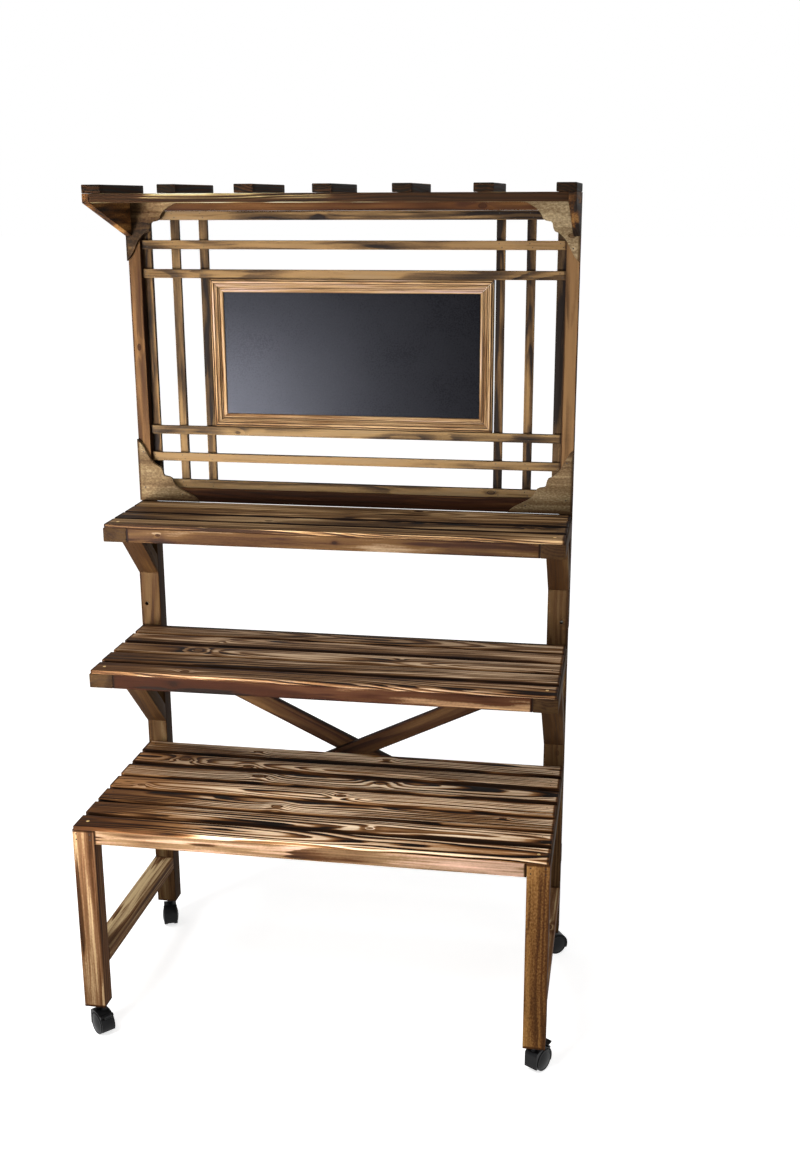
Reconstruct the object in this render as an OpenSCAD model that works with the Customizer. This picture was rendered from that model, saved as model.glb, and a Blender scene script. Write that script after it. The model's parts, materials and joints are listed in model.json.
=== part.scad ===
// Wheeled display rack of slatted wood: three stepped shelves, a trellis back with a
// chalkboard, a slatted canopy on brackets, and four twin-wheel casters.
// Millimetres, +X to the right, +Y to the back, +Z up. The origin is on the floor, on the
// rack's middle plane, under the middle of its depth over the casters.

/* [Overall] */
// Width over the posts, shelves and canopy
rack_w = 960; // [760:1:1300]
// Height from the floor to the top of the canopy
rack_h = 1715; // [1600:1:1900]
// From the origin back to the front faces of the back posts
post_y = 202; // [120:1:300]

/* [Posts and legs] */
// Width of a back post or front leg
leg_w = 45; // [36:0.5:60]
// Depth of a back post or front leg
leg_d = 40; // [34:0.5:60]
// Height of the feet of the posts and legs above the floor
foot_z = 62; // [61:0.5:90]
// Height of the top of the low side stretchers
stretcher_z = 179; // [140:1:300]
// Height of a side stretcher's section
stretcher_h = 30; // [20:1:45]
// Width of the bevel along the edges of every stout board
ease = 1.2; // [0.4:0.1:2]

/* [Shelves] */
// Height of the top face of the top shelf
top_shelf_z = 1037; // [960:1:1100]
// Height of the top face of the middle shelf
middle_shelf_z = 758; // [640:1:800]
// Height of the top face of the bottom shelf
bottom_shelf_z = 474; // [400:1:520]
// Reach of the top shelf in front of the back posts
top_reach = 196; // [170:1:260]
// Reach of the middle shelf in front of the back posts
middle_reach = 318; // [280:1:380]
// Reach of the bottom shelf in front of the back posts
bottom_reach = 456; // [400:1:560]
// Slats in the top shelf
top_slats = 4; // [3:1:4]
// Slats in the middle shelf
middle_slats = 5; // [3:1:5]
// Slats in the bottom shelf
bottom_slats = 7; // [5:1:7]
// Width of a shelf slat
slat_w = 53; // [40:0.5:54]
// Thickness of a shelf slat
slat_t = 8; // [6:0.5:14]
// Bevel along the edges of a shelf slat
slat_ease = 0.6; // [0.3:0.1:1.5]
// How far a slat's ends stop short of the side faces
slat_inset = 2; // [0:0.5:6]
// Width of a side rail under the slats
rail_w = 50; // [46:0.5:60]
// Height of the side rails and the front aprons
rail_h = 30; // [20:0.5:45]
// Thickness of a front apron
apron_t = 18; // [12:0.5:24]

/* [Braces] */
// Thickness of a sloping shelf brace
brace_t = 30; // [18:0.5:36]
// Reach of a top shelf brace along its rail
top_brace_reach = 119; // [90:1:150]
// Reach of a middle shelf brace along its rail
middle_brace_reach = 195; // [120:1:220]
// Width of a board of the crossed back brace
cross_w = 38; // [28:0.5:50]
// Thickness of a board of the crossed back brace
cross_t = 17; // [12:0.5:19]
// Height of a cross board's low end at the middle of its post
cross_low_z = 250; // [200:1:300]
// Height of a cross board's high end at the middle of its post
cross_high_z = 689; // [600:1:700]

/* [Back panel] */
// Side of a square panel post, and height of the panel's bottom rail
panel_post = 28; // [24:0.5:36]
// Height of the panel's top rail
top_rail_h = 35; // [26:0.5:40]
// Height of the lower ends of the panel posts
panel_foot_z = 782; // [760:1:840]
// Height of the underside of the panel's bottom rail
panel_bottom_z = 1039; // [1038:1:1100]
// Width of a trellis slat
trellis_w = 19; // [14:0.5:24]
// Thickness of a trellis slat
trellis_t = 9; // [6:0.5:9]
// How far the trellis sits back from the front of the panel posts
trellis_set = 9; // [6:0.5:9]
// Spacing of the level trellis slats
level_pitch = 60; // [45:0.5:66]
// Spacing of the upright trellis slats
upright_pitch = 62.7; // [50:0.1:66]
// Level trellis slats above the chalkboard, and below it
level_count = 3; // [2:1:3]
// Upright trellis slats on each side of the chalkboard
upright_count = 3; // [2:1:3]
// Bevel along the edges of a trellis slat
trellis_ease = 0.8; // [0.3:0.1:1.5]

/* [Chalkboard] */
// Gap between the chalkboard's frame and the upright slats beside it
board_side_gap = 2; // [1:0.5:12]
// Width of the moulded frame
frame_w = 29; // [29:0.5:40]
// Thickness of the moulded frame
frame_t = 16; // [16:0.5:20]
// How far the frame stands in front of the trellis
frame_proud = 1.5; // [0:0.5:4]
// Thickness of the black panel
board_t = 4; // [3:0.5:5]
// Width and depth of the rebate that holds the panel
rebate = 6; // [5:0.5:8]
// Clearance of the panel in its rebate, on each side
board_clearance = 0.5; // [0.2:0.1:1]
// Hairline between two mitred members of the frame
mitre_gap = 0.2; // [0.1:0.1:0.6]

/* [Brackets] */
// Length of each straight side of a scalloped bracket
bracket_side = 138; // [110:1:150]
// Thickness of a scalloped bracket
bracket_t = 9; // [6:0.5:9]

/* [Canopy] */
// Reach of the canopy in front of the back posts
canopy_reach = 196; // [150:1:260]
// Boards in the canopy
canopy_count = 7; // [5:1:9]
// Width of a canopy board
canopy_w = 38; // [30:0.5:50]
// Thickness of a canopy board
canopy_t = 17; // [12:0.5:20]
// How far a canopy board lies on the panel's top rail
canopy_seat = 12; // [8:0.5:24]
// Height of the canopy's front rail and of a gusset's front end
canopy_rail_h = 18; // [14:0.5:26]
// Thickness of the canopy's front rail
canopy_rail_t = 18; // [12:0.5:24]
// Thickness of a canopy gusset
gusset_t = 15; // [10:0.5:20]
// Height of a gusset's back end
gusset_h = 86; // [50:1:110]

/* [Bolts] */
// Diameter of a panel bolt's shank
bolt_d = 6; // [5:0.5:6.5]
// Diameter of the bolt holes in the back posts
bolt_hole_d = 8; // [7.5:0.5:10]
// Height of the lower pair of bolts above the ends of the panel posts
bolt_low = 26; // [15:1:40]
// Height of the upper pair of bolts above the lower pair
bolt_rise = 180; // [100:1:190]
// Diameter of a bolt's round head
bolt_head_d = 13; // [11:0.5:14]
// Thickness of a bolt's round head
bolt_head_t = 3; // [2:0.5:5]
// Depth from the post's front face to the insert nut
nut_set = 12; // [6:1:16]
// Length of an insert nut
nut_l = 15; // [10:1:20]

/* [Casters] */
// Diameter of a caster wheel
wheel_d = 45; // [40:0.5:46]
// Overall width of a caster over its wheels' rims
caster_w = 32; // [30:0.5:40]
// Gap between the two rims, where the stem passes
rim_gap = 15; // [14.5:0.5:16]
// How far the axle trails behind the stem
trail = 15; // [14:0.5:18]
// Clearance between a wheel's tread and the cover
cover_gap = 2; // [1.5:0.1:3]
// Wall of the cover
cover_wall = 2; // [1.5:0.1:3]
// Height of the cover's lower edge above the floor
cover_z = 12; // [8:0.5:15]
// Diameter of the axle
axle_d = 5; // [4:0.5:6]
// Diameter of the stem where it is held in the leg
stem_d = 10; // [8:0.5:11]
// Diameter of the stem's collar
collar_d = 12; // [11:0.5:16]
// Diameter of the stem's journal inside the cover
journal_d = 8; // [6:0.5:9]
// Length of the stem inside the leg
stem_l = 35; // [25:1:45]
// Radial clearance of a pin, stem or axle in its hole
fit = 0.05; // [0.02:0.01:0.1]
// Heading of the front left caster's trailing side, in degrees from +X
front_left_yaw = -41.7; // [-180:0.1:180]
// Heading of the front right caster's trailing side
front_right_yaw = 58.4; // [-180:0.1:180]
// Heading of the back left caster's trailing side
back_left_yaw = -69.3; // [-180:0.1:180]
// Heading of the back right caster's trailing side
back_right_yaw = 32; // [-180:0.1:180]

/* [Brake pedal] */
// Heading of the pedal's pivot from the axle, in degrees above level
pivot_angle = 50; // [40:1:60]
// Slope of the pedal when the brake is off
pedal_slope = 12; // [5:1:25]
// Turn of the pedal that sets the brake
pedal_turn = 30; // [20:1:30]
// Reach of the pedal from its pivot
pedal_l = 16; // [12:0.5:20]
// Width of the pedal
pedal_w = 18; // [14:0.5:22]

/* [Hidden] */
$fn = 64;

// Colours of the woods, metals and plastics
post_colour = [0.56, 0.40, 0.24];
slat_colour = [0.50, 0.33, 0.20];
apron_colour = [0.62, 0.42, 0.25];
trellis_colour = [0.52, 0.38, 0.25];
frame_colour = [0.76, 0.60, 0.45];
canopy_colour = [0.45, 0.37, 0.28];
board_colour = [0.07, 0.07, 0.08];
plastic_colour = [0.10, 0.10, 0.11];
steel_colour = [0.66, 0.67, 0.69];

// Heights and depths that follow from the sizes above
half_w = rack_w / 2;
slat_seat_top = top_shelf_z - slat_t;
under_canopy = rack_h - canopy_t;
panel_y = post_y + leg_d;
trellis_y = panel_y + trellis_set;
panel_half = half_w - panel_post;
top_rail_z = under_canopy - top_rail_h;
low_slat_z = panel_bottom_z + panel_post;
high_slat_z = top_rail_z - trellis_w;
board_low_z = low_slat_z + (level_count - 1) * level_pitch + trellis_w;
board_high_z = high_slat_z - (level_count - 1) * level_pitch;
board_half = panel_half - (upright_count - 1) * upright_pitch - trellis_w - board_side_gap;
bracket_y = panel_y - bracket_t;
canopy_front = post_y - canopy_reach;
leg_x = half_w - leg_w / 2;
front_leg_y = post_y - bottom_reach;
bolt_x = half_w - panel_post / 2;
bolt_heights = [panel_foot_z + bolt_low, panel_foot_z + bolt_low + bolt_rise];

// Sizes of the casters that follow from the sizes above
wheel_r = wheel_d / 2;
cover_r = wheel_r + cover_gap + cover_wall;
cover_w = caster_w - 3;
cover_top = wheel_r + cover_r;
web_t = 6;
boss_top = cover_top + 1;
collar_gap = 0.3;
flange_t = 1.5;
flange_d = 22;
sleeve_d = 13;
head_d = journal_d + 2;
head_z = 26;
head_t = 2.5;
rim_t = 3;
rim_corner = 1.2;
dome_r = wheel_r - rim_t - 0.5;
dome_rise = 3.4;
dome_steps = 8;
axle_half = caster_w / 2 - 1;
hub_gap = 0.3;
hub_r = axle_d / 2 + 3;
pivot_r = cover_r + 0.5;
trunnion_d = 4;
cam_r = 3.2;
lobe_r = 1.2;
lobe_offset = 3;
lobe_lag = pedal_turn + 5;
pedal_half = cover_w / 2 - 2.5;
slot_r = 5;
pedal_t = 2.6;
pivot_x = trail + pivot_r * cos(pivot_angle);
pivot_z = wheel_r + pivot_r * sin(pivot_angle);
CASTERS = [
    [-1, front_leg_y + leg_d / 2, front_left_yaw],
    [1, front_leg_y + leg_d / 2, front_right_yaw],
    [-1, post_y + leg_d / 2, back_left_yaw],
    [1, post_y + leg_d / 2, back_right_yaw]
];

// Cross-section of a board with bevelled long edges
module eased(w, h, e) {
    polygon([[e, 0], [w - e, 0], [w, e], [w, h - e], [w - e, h], [e, h], [0, h - e], [0, e]]);
}

// Boards with one corner at the origin and their length along X, Y or Z
module board_x(size, e = ease) {
    rotate([90, 0, 90]) linear_extrude(size.x) eased(size.y, size.z, e);
}
module board_y(size, e = ease) {
    translate([0, size.y, 0]) rotate([90, 0, 0]) linear_extrude(size.y) eased(size.x, size.z, e);
}
module board_z(size, e = ease) {
    linear_extrude(size.z) eased(size.x, size.y, e);
}

// A piece modelled on the right side, or mirrored to the left one
module on_side(side) {
    if (side < 0) mirror([1, 0, 0]) children();
    else children();
}

module bolt_line(d, from_y, to_y, z) {
    translate([bolt_x, to_y, z]) rotate([90, 0, 0]) cylinder(d = d, h = to_y - from_y);
}

module back_post(side) {
    color(post_colour) on_side(side) difference() {
        translate([half_w - leg_w, post_y, foot_z])
            board_z([leg_w, leg_d, slat_seat_top - foot_z]);
        for (z = bolt_heights) bolt_line(bolt_hole_d, post_y - 1, panel_y + 1, z);
        translate([leg_x, post_y + leg_d / 2, foot_z - 1])
            cylinder(d = sleeve_d, h = stem_l + 6);
    }
}

module front_leg(side) {
    color(post_colour) on_side(side) difference() {
        translate([half_w - leg_w, front_leg_y, foot_z])
            board_z([leg_w, leg_d, bottom_shelf_z - slat_t - foot_z]);
        translate([leg_x, front_leg_y + leg_d / 2, foot_z - 1])
            cylinder(d = sleeve_d, h = stem_l + 6);
    }
}

module stretcher(side) {
    color(post_colour) on_side(side)
        translate([half_w - leg_w, front_leg_y + leg_d, stretcher_z - stretcher_h])
            board_y([leg_w, bottom_reach - leg_d, stretcher_h]);
}

// A shelf's slats, spread evenly from its front edge to its back edge
module shelf_slats(top_z, from_y, to_y, count) {
    pitch = (to_y - from_y - slat_w) / (count - 1);
    color(slat_colour) for (i = [0 : count - 1])
        translate([-half_w + slat_inset, from_y + i * pitch, top_z - slat_t])
            board_x([rack_w - 2 * slat_inset, slat_w, slat_t], slat_ease);
}

module side_rails(top_z, from_y) {
    color(post_colour) for (side = [-1, 1]) on_side(side)
        translate([half_w - rail_w, from_y, top_z - slat_t - rail_h])
            board_y([rail_w, post_y - from_y, rail_h]);
}

// A front apron between two pieces that stand the given distance in from each side
module apron(top_z, reach, inset) {
    color(apron_colour)
        translate([-half_w + inset, post_y - reach, top_z - slat_t - rail_h])
            board_x([rack_w - 2 * inset, apron_t, rail_h]);
}

// A brace at 45 degrees from the front of a back post to the underside of a side rail
module brace(side, top_z, reach) {
    rail_under = top_z - slat_t - rail_h;
    foot = brace_t * sqrt(2);
    color(post_colour) on_side(side)
        translate([half_w - leg_w, post_y, rail_under - reach])
            rotate([90, 0, 90]) linear_extrude(leg_w)
                polygon([[0, 0], [0, foot], [foot - reach, reach], [-reach, reach]]);
}

// One board of the back cross: from low on one side to high on the other
module cross_board(half_span, from_y, rise_side) {
    slope = (cross_high_z - cross_low_z) / (2 * leg_x);
    mid_z = (cross_high_z + cross_low_z) / 2;
    half_h = cross_w / 2 * sqrt(1 + slope * slope);
    end_rise = slope * half_span;
    color(trellis_colour) translate([0, from_y + cross_t, mid_z]) rotate([90, 0, 0])
        linear_extrude(cross_t) polygon([
            [-half_span, -end_rise * rise_side - half_h],
            [half_span, end_rise * rise_side - half_h],
            [half_span, end_rise * rise_side + half_h],
            [-half_span, -end_rise * rise_side + half_h]
        ]);
}

module panel_post_board(side) {
    color(trellis_colour) on_side(side) difference() {
        translate([panel_half, panel_y, panel_foot_z])
            board_z([panel_post, panel_post, under_canopy - panel_foot_z]);
        for (z = bolt_heights)
            bolt_line(bolt_d + 2 * fit, panel_y - 1, panel_y + panel_post + 1, z);
    }
}

module panel_rail(z, h) {
    color(trellis_colour) translate([-panel_half, panel_y, z])
        board_x([2 * panel_half, panel_post, h]);
}

module trellis_level_slats() {
    color(trellis_colour) for (i = [0 : level_count - 1])
        for (z = [low_slat_z + i * level_pitch, high_slat_z - i * level_pitch])
            translate([-panel_half, trellis_y, z])
                board_x([2 * panel_half, trellis_t, trellis_w], trellis_ease);
}

module trellis_upright_slats() {
    color(trellis_colour) for (side = [-1, 1]) on_side(side)
        for (i = [0 : upright_count - 1])
            translate([panel_half - i * upright_pitch - trellis_w, trellis_y + trellis_t, low_slat_z])
                board_z([trellis_w, trellis_t, top_rail_z - low_slat_z], trellis_ease);
}

// Points on an arc about a centre
function arc(c, r, from, to, steps = 6) =
    [for (i = [0 : steps]) c + r * [cos(from + (to - from) * i / steps),
                                    sin(from + (to - from) * i / steps)]];

// Section of the frame moulding, from the outer edge in and from the back forward: a broad
// round, a groove, a thin bead, a deep cove, an inner bead and the rebate for the panel
function moulding_points() =
    let (run = frame_w - 16.4, crown_x = run - 4.6, crown_h = 7)
    concat(
        [[0, 0]],
        [for (a = [180 : -15 : 90]) [crown_x + crown_x * cos(a), frame_t - crown_h + crown_h * sin(a)]],
        [for (a = [75 : -20 : 35]) [crown_x + 5.6 * cos(a), frame_t - crown_h + crown_h * sin(a)]],
        [[run + 0.8, frame_t - 4]],
        arc([run + 2.6, frame_t - 3], 1.7, 190, 0, 6),
        arc([frame_w - 5.8, frame_t - 2.6], 6, 190, 262, 5),
        arc([frame_w - 2.9, frame_t - 8], 2.9, 150, 0, 6),
        [[frame_w, rebate], [frame_w - rebate, rebate], [frame_w - rebate, 0]]
    );

// A mitred frame member along X, its outer edge on Z = 0 and its opening side up
module frame_member(l) {
    cut = l / 2 - mitre_gap / sqrt(2);
    intersection() {
        translate([-l / 2, 0, 0]) rotate([90, 0, 90]) linear_extrude(l)
            polygon([for (p = moulding_points()) [frame_t - p.y, p.x]]);
        translate([0, frame_t + 1, 0]) rotate([90, 0, 0]) linear_extrude(frame_t + 2)
            polygon([[-cut, 0], [cut, 0], [cut - frame_w, frame_w], [frame_w - cut, frame_w]]);
    }
}

module chalkboard_frame() {
    mid_z = (board_low_z + board_high_z) / 2;
    half_h = (board_high_z - board_low_z) / 2;
    color(frame_colour) translate([0, trellis_y - frame_proud, mid_z]) {
        for (turn = [0, 180]) rotate([0, turn, 0])
            translate([0, 0, -half_h]) frame_member(2 * board_half);
        for (turn = [90, 270]) rotate([0, turn, 0])
            translate([0, 0, -board_half]) frame_member(2 * half_h);
    }
}

module chalkboard_panel() {
    inset = frame_w - rebate + board_clearance;
    color(board_colour)
        translate([-board_half + inset, trellis_y - frame_proud + frame_t - rebate, board_low_z + inset])
            cube([2 * (board_half - inset), board_t, board_high_z - board_low_z - 2 * inset]);
}

function bezier(p, steps) = [for (i = [0 : steps]) let (t = i / steps, s = 1 - t)
    s * s * s * p[0] + 3 * s * s * t * p[1] + 3 * s * t * t * p[2] + t * t * t * p[3]];

// Outline of a scalloped bracket with straight sides of length 1 and its square corner at
// the origin: an ogee from one tip to a blunt nose, a notch at the middle, and the same back
function bracket_points() =
    let (ogee = bezier([[0, 1], [0.16, 0.885], [0.15, 0.62], [0.378, 0.553]], 10),
         half = concat(ogee, [[0.402, 0.508], [0.415, 0.435]]))
    concat([[0, 0]], half, [for (i = [len(half) - 1 : -1 : 0]) [half[i].y, half[i].x]]);

module bracket(side, up) {
    z = up > 0 ? panel_bottom_z : under_canopy;
    color(post_colour) on_side(side) translate([half_w, bracket_y + bracket_t, z])
        rotate([90, 0, 0]) linear_extrude(bracket_t)
            polygon([for (p = bracket_points()) bracket_side * [-p.x, up * p.y]]);
}

module canopy_boards() {
    pitch = (rack_w - canopy_w) / (canopy_count - 1);
    color(canopy_colour) for (i = [0 : canopy_count - 1])
        translate([-half_w + i * pitch, canopy_front, under_canopy])
            board_y([canopy_w, canopy_reach + leg_d + canopy_seat, canopy_t]);
}

module canopy_front_rail() {
    color(canopy_colour)
        translate([-half_w + gusset_t, canopy_front, under_canopy - canopy_rail_h])
            board_x([rack_w - 2 * gusset_t, canopy_rail_t, canopy_rail_h]);
}

module gusset(side) {
    color(canopy_colour) on_side(side)
        translate([half_w - gusset_t, 0, under_canopy]) rotate([90, 0, 90]) linear_extrude(gusset_t)
            polygon([[canopy_front, 0], [canopy_front, -canopy_rail_h],
                     [bracket_y, -gusset_h], [bracket_y, 0]]);
}

module panel_bolts() {
    back_y = panel_y + panel_post;
    color(steel_colour) for (side = [-1, 1]) on_side(side) for (z = bolt_heights) difference() {
        union() {
            bolt_line(bolt_d, post_y + nut_set + 2, back_y + 0.5, z);
            bolt_line(bolt_head_d, back_y, back_y + bolt_head_t, z);
        }
        translate([bolt_x, back_y + bolt_head_t + 1, z])
            rotate([90, 0, 0]) cylinder(d = bolt_d * 0.6, h = bolt_head_t, $fn = 6);
    }
}

module insert_nuts() {
    color(steel_colour) for (side = [-1, 1]) on_side(side) for (z = bolt_heights) difference() {
        bolt_line(bolt_hole_d - 2 * fit, post_y + nut_set, post_y + nut_set + nut_l, z);
        bolt_line(bolt_d + 2 * fit, post_y + nut_set - 1, post_y + nut_set + nut_l + 1, z);
    }
}

// Frame of a caster: stem on the Z axis, trailing side towards +X, axle along Y
module at_caster(i) {
    translate([CASTERS[i][0] * leg_x, CASTERS[i][1], 0]) rotate([0, 0, CASTERS[i][2]]) children();
}

// A round bar across the caster, centred on its middle plane
module cross_bar(x, z, r, l) {
    translate([x, 0, z]) rotate([90, 0, 0]) cylinder(r = r, h = l, center = true);
}

module caster_stems() {
    color(steel_colour) for (i = [0 : 3]) at_caster(i) {
        translate([0, 0, head_z]) cylinder(d = head_d, h = head_t);
        translate([0, 0, head_z]) cylinder(d = journal_d, h = boss_top + 1 - head_z);
        translate([0, 0, boss_top + collar_gap])
            cylinder(d = collar_d, h = foot_z - flange_t - boss_top - collar_gap);
        translate([0, 0, foot_z - flange_t - 1]) cylinder(d = stem_d, h = stem_l + flange_t + 1);
    }
}

module caster_sockets() {
    color(steel_colour) for (i = [0 : 3]) at_caster(i) difference() {
        union() {
            translate([0, 0, foot_z - flange_t]) cylinder(d = flange_d, h = flange_t);
            translate([0, 0, foot_z - flange_t])
                cylinder(d = sleeve_d - 2 * fit, h = stem_l + flange_t);
        }
        translate([0, 0, foot_z - flange_t - 1])
            cylinder(d = stem_d + 2 * fit, h = stem_l + flange_t + 2);
    }
}

// The moulded cover: a hood over both wheels, a web down the middle, and the stem's boss
module caster_cover(i, braked) {
    nose = trail - cover_r;
    nose_r = 10;
    color(plastic_colour) at_caster(i) difference() {
        union() {
            difference() {
                union() {
                    cross_bar(trail, wheel_r, cover_r, cover_w);
                    cross_bar(nose + nose_r, cover_top - nose_r, nose_r, cover_w);
                    translate([nose + nose_r, -cover_w / 2, cover_top - nose_r - 1])
                        cube([trail - nose - nose_r, cover_w, nose_r + 1]);
                    translate([nose, -cover_w / 2, 0])
                        cube([trail - nose, cover_w, cover_top - nose_r]);
                }
                cross_bar(trail, wheel_r, wheel_r + cover_gap, cover_w + 2);
            }
            cross_bar(trail, wheel_r, wheel_r + cover_gap + cover_wall / 2, web_t);
            translate([0, 0, head_z - 3]) cylinder(d = rim_gap - 1, h = boss_top - head_z + 3);
            if (braked) cross_bar(pivot_x, pivot_z, trunnion_d / 2 + 1.6, cover_w);
        }
        translate([nose - 1, -cover_w, -cover_r])
            cube([2 * cover_r + 2, 2 * cover_w, cover_r + cover_z]);
        cross_bar(trail, wheel_r, axle_d / 2 + fit, caster_w);
        translate([0, 0, head_z - 0.1]) cylinder(d = head_d + 2 * fit, h = head_t + 0.2);
        translate([0, 0, head_z]) cylinder(d = journal_d + 2 * fit, h = boss_top);
        if (braked) {
            cross_bar(pivot_x, pivot_z, slot_r, 2 * pedal_half + 0.4);
            cross_bar(pivot_x, pivot_z, trunnion_d / 2 + fit, cover_w + 2);
        }
    }
}

module caster_axle(i) {
    color(steel_colour) at_caster(i) cross_bar(trail, wheel_r, axle_d / 2, 2 * axle_half);
}

// Half section of a wheel: radius along X, distance out from the caster's middle along Y
module wheel_section() {
    inner_y = rim_gap / 2;
    outer_y = caster_w / 2;
    skin = 2;
    polygon(concat(
        [[axle_d / 2 + fit, web_t / 2 + hub_gap], [hub_r, web_t / 2 + hub_gap],
         [hub_r, outer_y - skin], [wheel_r - rim_t, outer_y - skin],
         [wheel_r - rim_t, inner_y], [wheel_r, inner_y],
         [wheel_r, outer_y - rim_corner], [wheel_r - rim_corner, outer_y],
         [dome_r + 0.8, outer_y], [dome_r, outer_y - 0.6]],
        [for (i = [1 : dome_steps]) let (r = dome_r * (1 - i / dome_steps))
            [r, outer_y - 0.6 + dome_rise * (1 - pow(r / dome_r, 2))]],
        [[0, axle_half + fit], [axle_d / 2 + fit, axle_half + fit]]
    ));
}

module caster_wheel(i, side) {
    color(plastic_colour) at_caster(i) translate([trail, 0, wheel_r])
        rotate([side > 0 ? -90 : 90, 0, 0]) rotate_extrude() wheel_section();
}

// The pedal: a cam on two trunnions, with a tread plate that stands out behind
module brake_pedal(i) {
    color(plastic_colour) at_caster(i) {
        cross_bar(pivot_x, pivot_z, cam_r, 2 * pedal_half);
        cross_bar(pivot_x, pivot_z, trunnion_d / 2, cover_w);
        for (side = [-1, 1]) translate([
            pivot_x + lobe_offset * cos(pivot_angle + 180 + lobe_lag),
            side * (rim_gap / 2 + pedal_half) / 2,
            pivot_z + lobe_offset * sin(pivot_angle + 180 + lobe_lag)
        ]) rotate([90, 0, 0]) cylinder(r = lobe_r, h = pedal_half - rim_gap / 2, center = true);
        translate([pivot_x, pedal_w / 2, pivot_z]) rotate([90, 0, 0]) linear_extrude(pedal_w)
            rotate(pedal_slope) polygon([
                [0, -pedal_t / 2], [pedal_l - 3, -pedal_t / 2], [pedal_l, 0.6],
                [pedal_l - 0.6, pedal_t], [pedal_l - 3.4, pedal_t / 2], [0, pedal_t / 2]
            ]);
    }
}

back_post(-1);  // left_back_post
back_post(1);  // right_back_post
front_leg(-1);  // left_front_leg
front_leg(1);  // right_front_leg
stretcher(-1);  // left_stretcher
stretcher(1);  // right_stretcher
shelf_slats(top_shelf_z, post_y - top_reach, panel_y, top_slats);  // top_shelf_slats
shelf_slats(middle_shelf_z, post_y - middle_reach, post_y, middle_slats);  // middle_shelf_slats
shelf_slats(bottom_shelf_z, front_leg_y, post_y, bottom_slats);  // bottom_shelf_slats
side_rails(top_shelf_z, post_y - top_reach);  // top_side_rails
side_rails(middle_shelf_z, post_y - middle_reach);  // middle_side_rails
side_rails(bottom_shelf_z, front_leg_y + leg_d);  // bottom_side_rails
apron(top_shelf_z, top_reach, rail_w);  // top_apron
apron(middle_shelf_z, middle_reach, rail_w);  // middle_apron
apron(bottom_shelf_z, bottom_reach, leg_w);  // bottom_apron
brace(-1, top_shelf_z, top_brace_reach);  // top_left_brace
brace(1, top_shelf_z, top_brace_reach);  // top_right_brace
brace(-1, middle_shelf_z, middle_brace_reach);  // middle_left_brace
brace(1, middle_shelf_z, middle_brace_reach);  // middle_right_brace
cross_board(half_w - leg_w, panel_y - cross_t, 1);  // cross_board_front
cross_board(half_w, panel_y, -1);  // cross_board_back
panel_post_board(-1);  // left_panel_post
panel_post_board(1);  // right_panel_post
panel_rail(top_rail_z, top_rail_h);  // panel_top_rail
panel_rail(panel_bottom_z, panel_post);  // panel_bottom_rail
trellis_level_slats();
trellis_upright_slats();
chalkboard_frame();
chalkboard_panel();
bracket(-1, -1);  // upper_left_bracket
bracket(1, -1);  // upper_right_bracket
bracket(-1, 1);  // lower_left_bracket
bracket(1, 1);  // lower_right_bracket
canopy_boards();
canopy_front_rail();
gusset(-1);  // left_gusset
gusset(1);  // right_gusset
panel_bolts();
insert_nuts();
caster_stems();
caster_sockets();
caster_cover(0, true);  // front_left_caster_cover
caster_cover(1, true);  // front_right_caster_cover
caster_cover(2, false);  // back_left_caster_cover
caster_cover(3, false);  // back_right_caster_cover
caster_axle(0);  // front_left_axle
caster_axle(1);  // front_right_axle
caster_axle(2);  // back_left_axle
caster_axle(3);  // back_right_axle
caster_wheel(0, 1);  // front_left_caster_left_wheel
caster_wheel(0, -1);  // front_left_caster_right_wheel
caster_wheel(1, 1);  // front_right_caster_left_wheel
caster_wheel(1, -1);  // front_right_caster_right_wheel
caster_wheel(2, 1);  // back_left_caster_left_wheel
caster_wheel(2, -1);  // back_left_caster_right_wheel
caster_wheel(3, 1);  // back_right_caster_left_wheel
caster_wheel(3, -1);  // back_right_caster_right_wheel
brake_pedal(0);  // front_left_brake_pedal
brake_pedal(1);  // front_right_brake_pedal
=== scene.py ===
"""Looks of the wheeled display rack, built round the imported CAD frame. Metres, as in the frame."""
import json
import math
import random

import bmesh
import bpy
import numpy as np
from mathutils import Matrix, Vector, noise

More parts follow.
